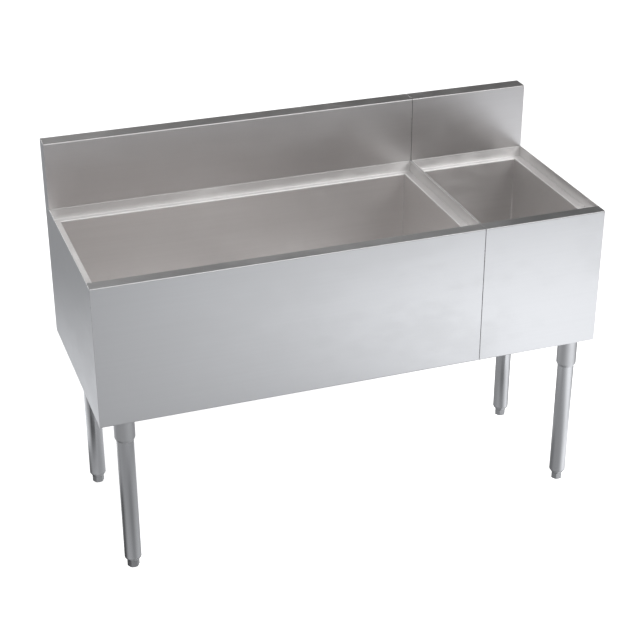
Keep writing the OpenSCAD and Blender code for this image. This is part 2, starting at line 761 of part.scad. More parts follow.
ice_ledge_frame();
ice_liner();
ice_insulation();
ice_front_apron();
ice_left_panel();
ice_right_panel();
ice_rear_panel();
ice_bottom_pan();
ice_backsplash();
ice_backsplash_left_end();
ice_backsplash_right_end();
ice_drain_body();
ice_drain_gasket();
ice_drain_locknut();
ice_drain_tailpiece();
ice_drain_strainer();
side_ledge_frame();
side_liner();
side_insulation();
side_front_apron();
side_left_panel();
side_right_panel();
side_rear_panel();
side_bottom_pan();
side_backsplash();
side_backsplash_left_end();
side_backsplash_right_end();
side_drain_body();
side_drain_gasket();
side_drain_locknut();
side_drain_tailpiece();
side_drain_strainer();
left_leg_channel();
right_leg_channel();
joint_plate();
joint_plate_bolts();
joint_plate_nuts();
seam_bolts();
seam_nuts();
seam_washers();
front_left_leg_socket();
front_right_leg_socket();
rear_left_leg_socket();
rear_right_leg_socket();
front_left_leg_tube();
front_right_leg_tube();
rear_left_leg_tube();
rear_right_leg_tube();
front_left_leg_plug();
front_right_leg_plug();
rear_left_leg_plug();
rear_right_leg_plug();
front_left_foot();
front_right_foot();
rear_left_foot();
rear_right_foot();
socket_bolts();
socket_nuts();
socket_grub_screws();
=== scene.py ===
"""Finishes, threads, welds and studio for an underbar ice bin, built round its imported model."""

import json
import logging
import math
from collections.abc import Callable
from dataclasses import dataclass, field
from enum import Enum

import bmesh
import bpy
from mathutils import Euler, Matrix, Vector


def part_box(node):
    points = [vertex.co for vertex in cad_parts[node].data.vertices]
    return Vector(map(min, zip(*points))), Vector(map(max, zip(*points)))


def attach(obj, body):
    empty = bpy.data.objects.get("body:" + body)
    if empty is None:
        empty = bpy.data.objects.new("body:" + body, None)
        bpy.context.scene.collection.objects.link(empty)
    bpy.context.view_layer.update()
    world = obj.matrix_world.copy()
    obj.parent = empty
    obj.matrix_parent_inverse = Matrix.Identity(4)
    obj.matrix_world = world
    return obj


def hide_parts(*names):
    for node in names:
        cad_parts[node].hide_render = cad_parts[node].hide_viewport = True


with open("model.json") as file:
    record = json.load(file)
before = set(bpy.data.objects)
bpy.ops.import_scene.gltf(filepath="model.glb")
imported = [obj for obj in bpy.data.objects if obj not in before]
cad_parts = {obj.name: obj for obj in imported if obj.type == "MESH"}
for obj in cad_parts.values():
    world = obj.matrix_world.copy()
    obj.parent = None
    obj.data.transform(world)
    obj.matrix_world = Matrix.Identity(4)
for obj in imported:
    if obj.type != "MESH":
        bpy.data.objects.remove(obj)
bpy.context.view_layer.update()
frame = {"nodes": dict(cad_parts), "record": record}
LOG = logging.getLogger("ice_bin")

Colour = tuple[float, float, float]
Point = tuple[float, float, float]
Spot = tuple[float, float]
Radius = float | Callable[[float], float]

UP: Point = (0.0, 0.0, 1.0)
WHITE: Colour = (1.0, 1.0, 1.0)
TURN = 2.0 * math.pi


class Grain(Enum):
    """Direction in which the brushing of a sheet runs."""

    ALONG_X = (1.0, 0.0, 0.0)
    ALONG_Z = (0.0, 0.0, 1.0)


class Effect(Enum):
    """Names of the shader node groups that the finishes share."""

    BRUSHING = "brushing"
    EDGES = "edges"
    CREVICES = "crevices"
    SMUDGES = "smudges"
    SETTLED_DUST = "settled_dust"
    SOFT_POOL = "soft_pool"
    SOFT_FAN = "soft_fan"


class Mixed(Enum):
    """What a Mix node mixes: its data type, then the places of its two inputs and its output."""

    VECTORS = ("VECTOR", 4, 5, 1)
    COLOURS = ("RGBA", 6, 7, 2)


class NodeBench:
    """Short ways to place and join nodes in one node tree."""

    def __init__(self, tree: bpy.types.NodeTree) -> None:
        """Keeps the tree that is worked on.

        Args:
            tree: The tree of a material, a world or a group.
        """
        self.tree = tree

    def add(self, kind: str, **settings: object) -> bpy.types.Node:
        """Adds a node.

        Args:
            kind: The node's type name, without its ShaderNode prefix.
            settings: Attributes to set on the node.

        Returns:
            The new node.
        """
        node = self.tree.nodes.new("ShaderNode" + kind)
        for key, value in settings.items():
            setattr(node, key, value)
        return node

    def feed(self, source: object, target: bpy.types.NodeSocket) -> None:
        """Joins an output to an input, or sets the input to a plain value.

        Args:
            source: An output socket, a number, or a tuple of numbers.
            target: The input socket.
        """
        if isinstance(source, bpy.types.NodeSocket):
            self.tree.links.new(source, target)
        else:
            target.default_value = source

    def math(self, operation: str, *values: object, clamp: bool = False) -> bpy.types.NodeSocket:
        """Adds a Math node and returns its output.

        Args:
            operation: The node's operation.
            values: Its inputs, as sockets or numbers.
            clamp: Whether the result is held between 0 and 1.

        Returns:
            The output socket.
        """
        node = self.add("Math", operation=operation, use_clamp=clamp)
        for value, socket in zip(values, node.inputs):
            self.feed(value, socket)
        return node.outputs[0]

    def vector(self, operation: str, *values: object) -> bpy.types.NodeSocket:
        """Adds a Vector Math node and returns its output.

        Args:
            operation: The node's operation.
            values: Its inputs, as sockets or triples.

        Returns:
            The value output for lengths and products, otherwise the vector output.
        """
        node = self.add("VectorMath", operation=operation)
        for value, socket in zip(values, node.inputs):
            self.feed(value, socket)
        scalar = operation in ("LENGTH", "DISTANCE", "DOT_PRODUCT")
        return node.outputs["Value" if scalar else "Vector"]

    def spread(self, value: object, low: float, high: float, to_low: float = 0.0,
               to_high: float = 1.0, smooth: bool = False) -> bpy.types.NodeSocket:
        """Maps one range of values onto another.

        Args:
            value: The socket to map.
            low: Start of the range that comes in.
            high: End of the range that comes in.
            to_low: What the start becomes.
            to_high: What the end becomes.
            smooth: Whether the change eases in and out.

        Returns:
            The mapped value.
        """
        node = self.add("MapRange", interpolation_type="SMOOTHSTEP" if smooth else "LINEAR")
        for amount, name in zip((value, low, high, to_low, to_high),
                                ("Value", "From Min", "From Max", "To Min", "To Max")):
            self.feed(amount, node.inputs[name])
        return node.outputs["Result"]

    def noise(self, place: object, scale: object, detail: float) -> bpy.types.NodeSocket:
        """Adds a noise texture.

        Args:
            place: Vector socket to read it at.
            scale: Its scale, a socket or a number.
            detail: Its octaves.

        Returns:
            Its value, about 0.5 on average.
        """
        node = self.add("TexNoise")
        self.feed(place, node.inputs["Vector"])
        self.feed(scale, node.inputs["Scale"])
        self.feed(detail, node.inputs["Detail"])
        return node.outputs[0]

    def tint(self, amount: object, low: object, high: object) -> bpy.types.NodeSocket:
        """Mixes two colours, each a socket or three numbers."""
        pair = [(*part, 1.0) if isinstance(part, tuple) else part for part in (low, high)]
        return self._mix(Mixed.COLOURS, amount, *pair)

    def between(self, amount: object, start: object, end: object) -> bpy.types.NodeSocket:
        """Mixes two vectors, each a socket."""
        return self._mix(Mixed.VECTORS, amount, start, end)

    def _mix(self, kind: Mixed, amount: object, first: object,
             second: object) -> bpy.types.NodeSocket:
        """Adds a Mix node.

        Args:
            kind: What it mixes.
            amount: Share of the second value.
            first: First value.
            second: Second value.

        Returns:
            The mixed value.
        """
        data_type, low, high, out = kind.value
        node = self.add("Mix", data_type=data_type)
        for value, place in ((amount, 0), (first, low), (second, high)):
            self.feed(value, node.inputs[place])
        return node.outputs[out]

    def choose(self, share: bpy.types.NodeSocket, first: bpy.types.NodeSocket,
               second: bpy.types.NodeSocket) -> bpy.types.NodeSocket:
        """Adds a Mix Shader node.

        Args:
            share: Share of the second shader.
            first: First shader.
            second: Second shader.

        Returns:
            The mixed shader.
        """
        node = self.add("MixShader")
        for socket, place in zip((share, first, second), node.inputs):
            self.feed(socket, place)
        return node.outputs[0]


class Effects:
    """Shader node groups, each built once and placed in the materials with values of their own."""

    # Each noise is its scale and its octaves. Each range is where a mask is 0 and where it is 1.
    SCRATCHES = (900.0, 3.0)
    STREAKS = (170.0, 2.0)
    STREAK_SHARE = 0.6
    STREAK_RANGE = (0.32, 0.68)
    RAY_SAMPLES = 4
    EDGE_RANGE = (0.995, 0.85)
    HANDLING = (60.0, 3.0)
    HANDLING_RANGE = (0.3, 0.6)
    LEAST_HANDLING = 0.35
    HOLLOW_RANGE = (0.95, 0.35)
    SMUDGE_STRETCH = (1.0, 1.0, 2.2)
    WIDE_SMUDGES = (3.0, 2.0)
    SMALL_SMUDGES = (22.0, 3.0)
    SMALL_SHARE = 0.35
    SMUDGE_RANGE = (0.42, 0.62)
    FACING_UP_RANGE = (0.6, 0.98)
    DUST_PATCHES = (35.0, 5.0)
    DUST_RANGE = (0.35, 0.7)
    LEAST_DUST = 0.3
    FAN_LEVEL_PART = 0.6

    def __init__(self) -> None:
        """Builds every group."""
        self.groups = {
            Effect.BRUSHING: self._brushing(),
            Effect.EDGES: self._edges(),
            Effect.CREVICES: self._crevices(),
            Effect.SMUDGES: self._smudges(),
            Effect.SETTLED_DUST: self._settled_dust(),
            Effect.SOFT_POOL: self._soft_pool(),
            Effect.SOFT_FAN: self._soft_fan(),
        }

    def place(self, bench: NodeBench, effect: Effect, **values: object) -> bpy.types.Node:
        """Places a group in a tree.

        Args:
            bench: The tree to place it in.
            effect: Which group.
            values: Its inputs by name, with _ for a space.

        Returns:
            The group node.
        """
        node = bench.add("Group", node_tree=self.groups[effect], label=effect.value)
        for name, value in values.items():
            bench.feed(value, node.inputs[name.replace("_", " ")])
        return node

    @staticmethod
    def _start(effect: Effect, inputs: dict[str, tuple[str, object]],
               outputs: dict[str, str]) -> tuple[NodeBench, bpy.types.Node, bpy.types.Node]:
        """Makes an empty group with its sockets.

        Args:
            effect: Which group it will be.
            inputs: Socket kind and default of each input, by name.
            outputs: Socket kind of each output, by name.

        Returns:
            The bench, the input node and the output node.
        """
        tree = bpy.data.node_groups.new(effect.value, "ShaderNodeTree")
        prefix = "NodeSocket"
        for name, (kind, default) in inputs.items():
            socket = tree.interface.new_socket(name, in_out="INPUT", socket_type=prefix + kind)
            if default is not None:
                socket.default_value = default
        for name, kind in outputs.items():
            tree.interface.new_socket(name, in_out="OUTPUT", socket_type=prefix + kind)
        return NodeBench(tree), tree.nodes.new("NodeGroupInput"), tree.nodes.new("NodeGroupOutput")

    def _brushing(self) -> bpy.types.NodeTree:
        """Fine scratches drawn out along one direction, with a coarser streak under them.

        Returns:
            The finished group.
        """
        bench, given, result = self._start(
            Effect.BRUSHING,
            {"Place": ("Vector", None), "Stretch": ("Vector", (1.0, 1.0, 1.0)),
             "Fineness": ("Float", 1.0)},
            {"Height": "Float", "Streak": "Float"})
        drawn = bench.vector("MULTIPLY", given.outputs["Place"], given.outputs["Stretch"])
        fine, coarse = (
            bench.noise(drawn, bench.math("MULTIPLY", given.outputs["Fineness"], scale), detail)
            for scale, detail in (self.SCRATCHES, self.STREAKS))
        under = bench.math("MULTIPLY", fine, 1.0 - self.STREAK_SHARE)
        both = bench.math("MULTIPLY_ADD", coarse, self.STREAK_SHARE, under)
        bench.feed(both, result.inputs["Height"])
        bench.feed(bench.spread(coarse, *self.STREAK_RANGE), result.inputs["Streak"])
        return bench.tree

    def _edges(self) -> bpy.types.NodeTree:
        """Broken sharp edges: the normal that rounds them, and a mask of their hand polishing,
        where the finish also paints a highlight.

        Returns:
            The finished group.
        """
        bench, given, result = self._start(
            Effect.EDGES, {"Radius": ("Float", 0.0008), "Place": ("Vector", None)},
            {"Mask": "Float", "Normal": "Vector"})
        bevel = bench.add("Bevel", samples=self.RAY_SAMPLES)
        bench.feed(given.outputs["Radius"], bevel.inputs["Radius"])
        bench.feed(bevel.outputs["Normal"], result.inputs["Normal"])
        straight = bench.add("NewGeometry").outputs["Normal"]
        turned = bench.vector("DOT_PRODUCT", bevel.outputs["Normal"], straight)
        edge = bench.spread(turned, *self.EDGE_RANGE, smooth=True)
        handled = bench.noise(given.outputs["Place"], *self.HANDLING)
        broken = bench.spread(handled, *self.HANDLING_RANGE, self.LEAST_HANDLING)
        bench.feed(bench.math("MULTIPLY", edge, broken, clamp=True), result.inputs["Mask"])
        return bench.tree

    def _crevices(self) -> bpy.types.NodeTree:
        """Mask of inner corners and seams, found by ambient occlusion, where the finish paints
        shade.

        Returns:
            The finished group.
        """
        bench, given, result = self._start(
            Effect.CREVICES, {"Reach": ("Float", 0.003)}, {"Mask": "Float"})
        hollow = bench.add("AmbientOcclusion", samples=self.RAY_SAMPLES, only_local=False)
        bench.feed(given.outputs["Reach"], hollow.inputs["Distance"])
        mask = bench.spread(hollow.outputs["AO"], *self.HOLLOW_RANGE, smooth=True)
        bench.feed(mask, result.inputs["Mask"])
        return bench.tree

    def _smudges(self) -> bpy.types.NodeTree:
        """Broad, faint patches left by wiping and handling.

        Returns:
            The finished group.
        """
        bench, given, result = self._start(
            Effect.SMUDGES, {"Place": ("Vector", None), "Size": ("Float", 1.0)}, {"Mask": "Float"})
        near = bench.vector("MULTIPLY", given.outputs["Place"], self.SMUDGE_STRETCH)
        scale, detail = self.WIDE_SMUDGES
        wide = bench.noise(near, bench.math("DIVIDE", scale, given.outputs["Size"]), detail)
        small = bench.noise(near, *self.SMALL_SMUDGES)
        under = bench.math("MULTIPLY", wide, 1.0 - self.SMALL_SHARE)
        mixed = bench.math("MULTIPLY_ADD", small, self.SMALL_SHARE, under)
        bench.feed(bench.spread(mixed, *self.SMUDGE_RANGE, smooth=True), result.inputs["Mask"])
        return bench.tree

    def _settled_dust(self) -> bpy.types.NodeTree:
        """Dust that lies on what faces up.

        Returns:
            The finished group.
        """
        bench, given, result = self._start(
            Effect.SETTLED_DUST, {"Place": ("Vector", None), "Amount": ("Float", 0.1)},
            {"Mask": "Float"})
        rise = bench.vector("DOT_PRODUCT", bench.add("NewGeometry").outputs["Normal"], UP)
        facing = bench.spread(rise, *self.FACING_UP_RANGE, smooth=True)
        patches = bench.noise(given.outputs["Place"], *self.DUST_PATCHES)
        patchy = bench.spread(patches, *self.DUST_RANGE, self.LEAST_DUST)
        settled = bench.math("MULTIPLY", facing, patchy)
        mask = bench.math("MULTIPLY", settled, given.outputs["Amount"])
        bench.feed(mask, result.inputs["Mask"])
        return bench.tree

    def _soft_pool(self) -> bpy.types.NodeTree:
        """Round pool that fades evenly from its middle, for light on the studio floor and walls.

        Returns:
            The finished group.
        """
        bench, given, result = self._start(
            Effect.SOFT_POOL,
            {"Place": ("Vector", None), "Middle": ("Vector", (0.0, 0.0, 0.0)),
             "Reach": ("Float", 1.0), "Level": ("Float", 1.0)},
            {"Tone": "Float"})
        away = bench.vector("DISTANCE", given.outputs["Place"], given.outputs["Middle"])
        near = bench.math("DIVIDE", away, given.outputs["Reach"])
        fade = bench.spread(near, 1.0, 0.0, smooth=True)
        bench.feed(bench.math("MULTIPLY", fade, given.outputs["Level"]), result.inputs["Tone"])
        return bench.tree

    def _soft_fan(self) -> bpy.types.NodeTree:
        """Wedge that opens from a point and fades to both sides: a stripe, seen in a round leg.

        Returns:
            The finished group.
        """
        bench, given, result = self._start(
            Effect.SOFT_FAN,
            {"Place": ("Vector", None), "Middle": ("Vector", (0.0, 0.0, 0.0)),
             "Toward": ("Vector", (1.0, 0.0, 0.0)), "Half Width": ("Float", 1.0),
             "Reach": ("Float", 1.0), "Level": ("Float", 1.0)},
            {"Tone": "Float"})
        away = bench.vector("SUBTRACT", given.outputs["Place"], given.outputs["Middle"])
        heading = bench.vector("NORMALIZE", away)
        cosine = bench.vector("DOT_PRODUCT", heading, given.outputs["Toward"])
        off = bench.math("DIVIDE", bench.math("ARCCOSINE", cosine), given.outputs["Half Width"])
        across = bench.spread(off, 1.0, 0.0, smooth=True)
        near = bench.math("DIVIDE", bench.vector("LENGTH", away), given.outputs["Reach"])
        along = bench.spread(near, 1.0, self.FAN_LEVEL_PART, smooth=True)
        wedge = bench.math("MULTIPLY", across, along)
        tone = bench.math("MULTIPLY", wedge, given.outputs["Level"])
        bench.feed(tone, result.inputs["Tone"])
        return bench.tree


@dataclass(frozen=True)
class SteelFinish:
    """Brushed or turned metal with grain, rubbed edges with a painted highlight, painted shade in
    inner corners, smudges and a little dust.
    """

    name: str
    colour: Colour
    roughness: float
    grain: Grain = Grain.ALONG_X
    fineness: float = 1.0
    grain_depth: float = 0.000006
    anisotropy: float = 0.45
    streak_tone: float = 0.012
    edge_radius: float = 0.0008
    crevice_reach: float = 0.003
    # How much lighter edges get, partly from rubbing and partly as a painted highlight.
    wear_and_highlight: float = 0.5
    # How much darker inner corners get: painted shade.
    corner_shade: float = 0.35
    smudge: float = 0.06
    haze: float = 0.0
    dust: float = 0.05
    spangle: float = 0.0
    stretch: float = 60.0

    # Factor by which an edge is lighter: rubbing and a painted highlight.
    POLISH_AND_HIGHLIGHT = 1.22
    DUST_COLOUR = (0.55, 0.54, 0.52)
    SPANGLE_SCALE = 130.0
    SPANGLE_SHADE = 0.72
    STREAK_ROUGHNESS = 0.04
    WORN_ROUGHNESS = -0.06
    HAZE_SPREAD = 0.25
    BUMP_STRENGTH = 0.5
    FLAT_FACE_PULL = 0.02

    def make(self, effects: Effects) -> bpy.types.Material:
        """Builds the material.

        Args:
            effects: The shared node groups.

        Returns:
            The material.
        """
        material = bpy.data.materials.new(self.name)
        material.use_nodes = True
        bench = NodeBench(material.node_tree)
        shader = material.node_tree.nodes["Principled BSDF"]
        place = bench.add("TexCoord").outputs["Object"]
        stretch = tuple(1.0 / self.stretch if along else 1.0 for along in self.grain.value)
        brushed = effects.place(bench, Effect.BRUSHING, Place=place, Stretch=stretch,
                                Fineness=self.fineness)
        edges = effects.place(bench, Effect.EDGES, Radius=self.edge_radius, Place=place)
        crevices = effects.place(bench, Effect.CREVICES, Reach=self.crevice_reach)
        hollow = crevices.outputs["Mask"]
        worn_and_highlit = bench.math("MULTIPLY", edges.outputs["Mask"], bench.math("SUBTRACT", 1.0, hollow))
        smudges = effects.place(bench, Effect.SMUDGES, Place=place, Size=1.0)
        smudged = smudges.outputs["Mask"]
        dust = effects.place(bench, Effect.SETTLED_DUST, Place=place, Amount=self.dust)
        dusty = dust.outputs["Mask"]
        streak = brushed.outputs["Streak"]

        colour = self._metal(bench, place, streak)
        # Picked-out edges turn lighter: partly rubbed bright, partly a painted highlight for the
        # light their bends catch.
        polished_and_highlit = tuple(min(1.0, part * self.POLISH_AND_HIGHLIGHT) for part in self.colour)
        colour = bench.tint(bench.math("MULTIPLY", worn_and_highlit, self.wear_and_highlight), colour, polished_and_highlit)
        # Inner corners and seams, found by ambient occlusion, are darkened: painted shade.
        corner_shaded = tuple(part * (1.0 - self.corner_shade) for part in self.colour)
        colour = bench.tint(hollow, colour, corner_shaded)
        colour = bench.tint(dusty, colour, self.DUST_COLOUR)
        bench.feed(colour, shader.inputs["Base Color"])

        rough = bench.spread(streak, 0.0, 1.0, self.roughness * (1.0 - self.STREAK_ROUGHNESS),
                             self.roughness * (1.0 + self.STREAK_ROUGHNESS))
        rough = bench.math("MULTIPLY_ADD", smudged, self.smudge, rough)
        rough = bench.math("MULTIPLY_ADD", worn_and_highlit, self.WORN_ROUGHNESS * self.wear_and_highlight, rough)
        bench.feed(rough, shader.inputs["Roughness"])
        film = bench.spread(smudged, 0.0, 1.0, 1.0 - (1.0 - self.HAZE_SPREAD) * self.haze,
                            1.0 - (1.0 + self.HAZE_SPREAD) * self.haze)
        bare = bench.math("MULTIPLY", film, bench.math("SUBTRACT", 1.0, dusty))
        bench.feed(bare, shader.inputs["Metallic"])
        shader.inputs["Anisotropic"].default_value = self.anisotropy
        if self.anisotropy:
            bench.feed(self._along(bench), shader.inputs["Tangent"])
        bump = bench.add("Bump")
        bump.inputs["Strength"].default_value = self.BUMP_STRENGTH
        bump.inputs["Distance"].default_value = self.grain_depth
        bench.feed(brushed.outputs["Height"], bump.inputs["Height"])
        straight = bench.add("NewGeometry").outputs["Normal"]
        bench.feed(bench.between(hollow, edges.outputs["Normal"], straight), bump.inputs["Normal"])
        bench.feed(bump.outputs["Normal"], shader.inputs["Normal"])
        return material

    def _metal(self, bench: NodeBench, place: bpy.types.NodeSocket,
               streak: bpy.types.NodeSocket) -> bpy.types.NodeSocket:
        """Clean metal: its streaks, and the zinc flowers of galvanised sheet.

        Args:
            bench: The material's tree.
            place: Where a point lies.
            streak: How light the brushing is there.

        Returns:
            The colour as a socket.
        """
        dark = tuple(part * (1.0 - self.streak_tone) for part in self.colour)
        light = tuple(min(1.0, part * (1.0 + self.streak_tone)) for part in self.colour)
        colour = bench.tint(streak, dark, light)
        if self.spangle:
            cells = bench.add("TexVoronoi")
            bench.feed(place, cells.inputs["Vector"])
            bench.feed(self.SPANGLE_SCALE, cells.inputs["Scale"])
            grey = bench.math("MULTIPLY", cells.outputs["Color"], self.spangle)
            shaded = tuple(part * self.SPANGLE_SHADE for part in self.colour)
            colour = bench.tint(grey, colour, shaded)
        return colour

    def _along(self, bench: NodeBench) -> bpy.types.NodeSocket:
        """Direction of the grain: level on upright faces, and the grain's own on flat ones.

        Args:
            bench: The material's tree.

        Returns:
            The direction as a vector socket.
        """
        level = bench.vector("CROSS_PRODUCT", bench.add("NewGeometry").outputs["Normal"], UP)
        own = tuple(self.FLAT_FACE_PULL * part for part in self.grain.value)
        return bench.vector("ADD", level, own)


@dataclass(frozen=True)
class SoftFinish:
    """Matt foam or rubber with fine pores or a fine skin."""

    name: str
    colour: Colour
    roughness: float
    pore_size: float
    pore_depth: float

    PORE_DETAIL = 4.0
    PORE_SHADE = 0.86
    PORE_RANGE = (0.35, 0.65)
    ROUGH_RANGE = (0.3, 0.7)
    LEAST_ROUGH = 0.92
    SMUDGE_SIZE = 0.4
    SMUDGE = 0.25
    BUMP_STRENGTH = 0.6

    def make(self, effects: Effects) -> bpy.types.Material:
        """Builds the material.

        Args:
            effects: The shared node groups.

        Returns:
            The material.
        """
        material = bpy.data.materials.new(self.name)
        material.use_nodes = True
        bench = NodeBench(material.node_tree)
        shader = material.node_tree.nodes["Principled BSDF"]
        place = bench.add("TexCoord").outputs["Object"]
        pores = bench.noise(place, 1.0 / self.pore_size, self.PORE_DETAIL)
        smudges = effects.place(bench, Effect.SMUDGES, Place=place, Size=self.SMUDGE_SIZE)
        smudged = bench.math("MULTIPLY", smudges.outputs["Mask"], self.SMUDGE)
        dark = tuple(part * self.PORE_SHADE for part in self.colour)
        colour = bench.tint(bench.spread(pores, *self.PORE_RANGE), dark, self.colour)
        bench.feed(bench.tint(smudged, colour, dark), shader.inputs["Base Color"])
        rough = bench.spread(pores, *self.ROUGH_RANGE, self.roughness * self.LEAST_ROUGH,
                             self.roughness)
        bench.feed(rough, shader.inputs["Roughness"])
        bump = bench.add("Bump")
        bump.inputs["Strength"].default_value = self.BUMP_STRENGTH
        bump.inputs["Distance"].default_value = self.pore_depth
        bench.feed(pores, bump.inputs["Height"])
        bench.feed(bump.outputs["Normal"], shader.inputs["Normal"])
        return material


@dataclass
class FinishBook:
    """Every finish of the unit, and which nodes take it."""

    effects: Effects
    made: dict[str, bpy.types.Material] = field(default_factory=dict)

    STEELS = (
        SteelFinish("shell_steel", (0.80, 0.80, 0.805), 0.30, streak_tone=0.007,
                    edge_radius=0.0015, haze=0.05),
        SteelFinish("splash_steel", (0.82, 0.803, 0.80), 0.30, streak_tone=0.007,
                    edge_radius=0.0015, haze=0.05),
        SteelFinish("liner_steel", (0.92, 0.900, 0.892), 0.30, wear_and_highlight=0.2, haze=0.15, dust=0.03),
        SteelFinish("ledge_steel", (0.76, 0.748, 0.742), 0.29, anisotropy=0.0, haze=0.44,
                    dust=0.04),
        SteelFinish("galvanised_steel", (0.56, 0.58, 0.60), 0.42, anisotropy=0.0,
                    grain_depth=0.00001, spangle=0.8),
        SteelFinish("leg_steel", (0.72, 0.72, 0.727), 0.15, Grain.ALONG_Z, grain_depth=0.000002,
                    anisotropy=0.0, streak_tone=0.006, dust=0.02),
        SteelFinish("socket_steel", (0.74, 0.74, 0.745), 0.36, Grain.ALONG_Z, anisotropy=0.0,
                    dust=0.02),
        SteelFinish("foot_steel", (0.56, 0.56, 0.565), 0.24, Grain.ALONG_Z, anisotropy=0.0,
                    dust=0.04),
        SteelFinish("drain_steel", (0.60, 0.60, 0.60), 0.26, dust=0.02),
        SteelFinish("fastener_steel", (0.60, 0.61, 0.62), 0.34, anisotropy=0.0, dust=0.02),
    )
    # Nodes whose finish is finer than their slot's, by their name without its first word.
    FINER = {"left_leg_socket": "socket_steel", "right_leg_socket": "socket_steel",
             "backsplash": "splash_steel"}
    SOFTS = (
        SoftFinish("foam", (0.86, 0.77, 0.52), 0.9, 0.0016, 0.0006),
        SoftFinish("rubber", (0.035, 0.035, 0.037), 0.7, 0.0004, 0.0001),
    )

    def build(self) -> None:
        """Makes every material under its own name."""
        for finish in self.STEELS + self.SOFTS:
            self.made[finish.name] = finish.make(self.effects)
        LOG.info("finishes: %d", len(self.made))

    def dress(self) -> None:
        """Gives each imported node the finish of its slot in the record, or the finer one."""
        slots = {part["node"]: part["material_slot"] for part in frame["record"]["subparts"]}
        for name, node in frame["nodes"].items():
            finish = self.FINER.get(name.split("_", 1)[1], slots[name])
            node.data.materials.clear()
            node.data.materials.append(self.made[finish])
        LOG.info("packed nodes dressed: %d", len(frame["nodes"]))


def saw(turn: float, flat: float = 0.12) -> float:
    """Height of a screw thread's profile at a part of a turn.

    Args:
        turn: Place along the pitch, in turns.
        flat: Share of the pitch that is flat at the crest and again at the root.

    Returns:
        1 at the crest and 0 at the root.
    """
    part = abs((turn % 1.0) * 2.0 - 1.0)
    return min(1.0, max(0.0, (part - flat) / (1.0 - 2.0 * flat)))


def upright_axis(node: str) -> Spot:
    """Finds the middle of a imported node, seen from above.

    Args:
        node: The node's name.

    Returns:
        Its x and y.
    """
    low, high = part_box(node)
    return (low[0] + high[0]) / 2.0, (low[1] + high[1]) / 2.0


@dataclass(frozen=True)
class Thread:
    """A screw thread, and the plain length that it leaves at each end."""

    crest_r: float
    depth: float
    pitch: float
    rows_per_turn: int = 8
    relief: float = 0.001


class Turning:
    """A closed mesh made of rings round an upright axis, whose radius may change with angle."""

    def __init__(self, name: str, axis: Spot, steps: int) -> None:
        """Starts the mesh.

        Args:
            name: Name of the object.
            axis: Where the axis stands, x and y.
            steps: Points in each ring.
        """
        self.name = name
        self.axis = axis
        self.steps = steps
        self.mesh = bmesh.new()
        self.rings: list[list[bmesh.types.BMVert]] = []

    def ring(self, z: float, radius: Radius) -> None:
        """Adds a ring.

        Args:
            z: Its height.
            radius: Its radius, or a function of the angle that gives it.
        """
        verts = []
        for step in range(self.steps):
            angle = TURN * step / self.steps
            r = radius(angle) if callable(radius) else radius
            verts.append(self.mesh.verts.new((self.axis[0] + r * math.cos(angle),
                                              self.axis[1] + r * math.sin(angle), z)))
        self.rings.append(verts)

    def screw(self, thread: Thread, start: float, end: float) -> None:
        """Adds the rings of a thread, which eases in over its first turn and out over its last.

        Args:
            thread: Its sizes.
            start: Height at which the threaded length starts.
            end: Height at which it ends, above or below.
        """
        way = 1 if end > start else -1
        turns = (way * (end - start) - 2.0 * thread.relief) / thread.pitch
        rows = int(turns * thread.rows_per_turn)
        for row in range(rows + 1):
            z = start + way * thread.relief + way * row * thread.pitch / thread.rows_per_turn
            ease = min(1.0, row / thread.rows_per_turn, (rows - row) / thread.rows_per_turn)

            def radius(angle: float, z: float = z, ease: float = ease) -> float:
                """Gives the thread's radius at one angle."""
                cut = 1.0 - ease * saw(z / thread.pitch - angle / TURN)
                return thread.crest_r - thread.depth * cut
            self.ring(z, radius)

    def close(self, loop: bool, material: bpy.types.Material,
              sharp_deg: float = 35.0) -> bpy.types.Object:
        """Joins the rings and makes the object.

        Args:
            loop: Whether the last ring joins the first; if not, both ends are capped.
            material: The finish.
            sharp_deg: Edges with more than this angle stay sharp.

        Returns:
            The object.
        """
        rings = self.rings + ([self.rings[0]] if loop else [])
        for low, high in zip(rings, rings[1:]):
            for k in range(self.steps):
                n = (k + 1) % self.steps
                self.mesh.faces.new((low[k], low[n], high[n], high[k]))
        if not loop:
            self.mesh.faces.new(tuple(reversed(self.rings[0])))
            self.mesh.faces.new(tuple(self.rings[-1]))
        bmesh.ops.recalc_face_normals(self.mesh, faces=self.mesh.faces)
        data = bpy.data.meshes.new(self.name)
        self.mesh.to_mesh(data)
        self.mesh.free()
        piece = bpy.data.objects.new(self.name, data)
        bpy.context.collection.objects.link(piece)
        data.materials.append(material)
        data.polygons.foreach_set("use_smooth", [True] * len(data.polygons))
        data.set_sharp_from_angle(angle=math.radians(sharp_deg))
        return piece


